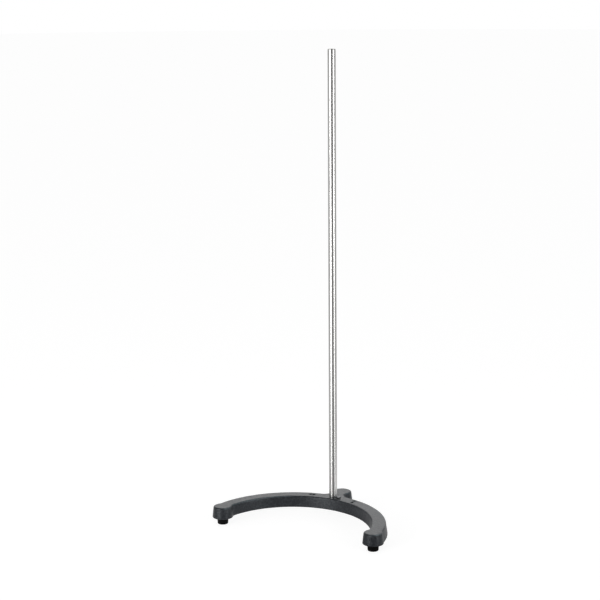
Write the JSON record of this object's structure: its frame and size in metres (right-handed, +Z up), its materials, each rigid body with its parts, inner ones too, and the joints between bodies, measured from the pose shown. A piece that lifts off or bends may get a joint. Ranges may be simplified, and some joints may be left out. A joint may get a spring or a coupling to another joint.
{
  "type": "retort stand",
  "caption": "Laboratory support stand: a half-ring cast base on rubber feet with a tall upright steel rod that holds clamps and rings.",
  "frame": {"origin": "on the floor, in the middle of the footprint's bounding box", "axes": "+Z up along the rod; +Y towards the rear lug, the open side of the half ring faces -Y; +X to the right seen from the open side"},
  "size_m": [0.3066, 0.1924, 0.7625],
  "materials": {
    "hammer_paint": "dark grey hammer-finish paint",
    "polished_stainless": "polished stainless steel",
    "dark_steel": "blackened steel",
    "foot_rubber": "matt black moulded rubber",
    "zinc_steel": "zinc-plated steel"
  },
  "bodies": {
    "base": {"base_casting": "hammer_paint", "lock_screw": "dark_steel"},
    "rod": {"upright_rod": "polished_stainless"},
    "left_foot": {"foot_pad_left": "foot_rubber", "foot_stud_left": "zinc_steel"},
    "right_foot": {"foot_pad_right": "foot_rubber", "foot_stud_right": "zinc_steel"},
    "rear_foot": {"foot_pad_rear": "foot_rubber", "foot_stud_rear": "zinc_steel"}
  },
  "joints": [
    {"name": "rod_unscrew", "type": "slide", "parent": "base", "child": "rod", "axis": [0, 0, 1], "range_m": [0, 0.016]},
    {"name": "left_foot_level", "type": "slide", "parent": "base", "child": "left_foot", "axis": [0, 0, -1], "range_m": [0, 0.006]},
    {"name": "right_foot_level", "type": "slide", "parent": "base", "child": "right_foot", "axis": [0, 0, -1], "range_m": [0, 0.006]},
    {"name": "rear_foot_level", "type": "slide", "parent": "base", "child": "rear_foot", "axis": [0, 0, -1], "range_m": [0, 0.006]}
  ]
}
